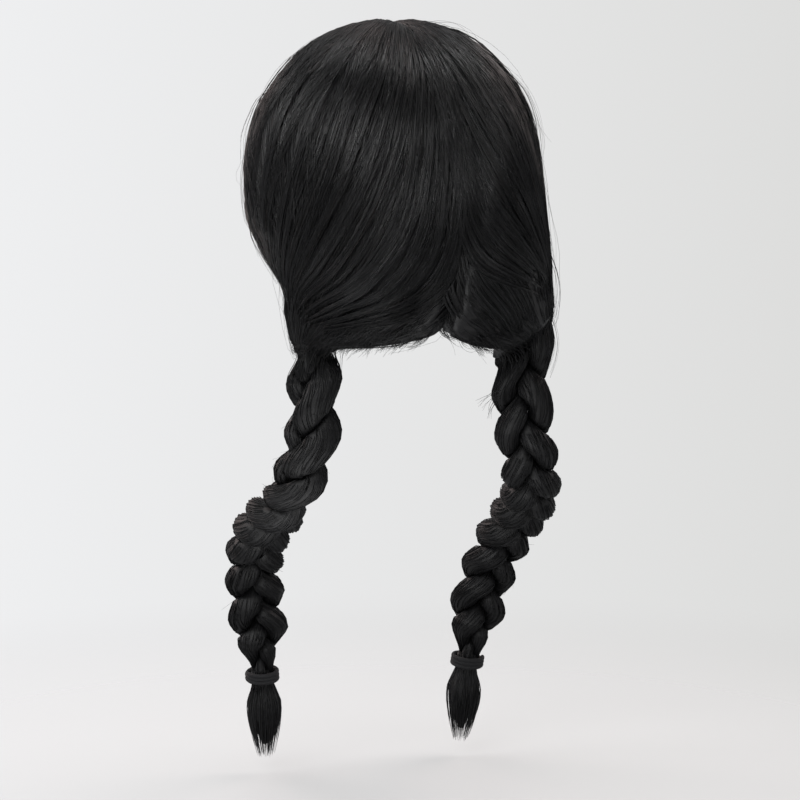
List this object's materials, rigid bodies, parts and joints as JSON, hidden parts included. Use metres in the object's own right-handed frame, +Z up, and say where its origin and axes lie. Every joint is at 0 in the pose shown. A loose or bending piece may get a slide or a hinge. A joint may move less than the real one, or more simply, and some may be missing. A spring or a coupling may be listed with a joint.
{
  "type": "long wig with two braids",
  "caption": "Full wig of dark hair on a thin stretch cap, parted in the middle and gathered low at each side into a long braid with a tied tail.",
  "frame": {"origin": "middle of the cap's inner crown, where the top of the head rests", "axes": "+Z up along the wearer's head, -Y the way the face looks, +X to the wearer's left"},
  "size_m": [0.2196, 0.2268, 0.499],
  "materials": {
    "cap_net": "thin stretch net, matt black",
    "hair": "straight synthetic fibre, soft black with a low sheen",
    "braid_hair": "the same fibre, braided",
    "elastic": "matt black elastic"
  },
  "bodies": {
    "root": {"wig_cap": "cap_net", "hair_left": "hair", "hair_right": "hair", "braid_left_strand_a": "braid_hair", "braid_left_strand_b": "braid_hair", "braid_left_strand_c": "braid_hair", "tie_left": "elastic", "tuft_left": "hair", "braid_right_strand_a": "braid_hair", "braid_right_strand_b": "braid_hair", "braid_right_strand_c": "braid_hair", "tie_right": "elastic", "tuft_right": "hair"}
  },
  "joints": []
}
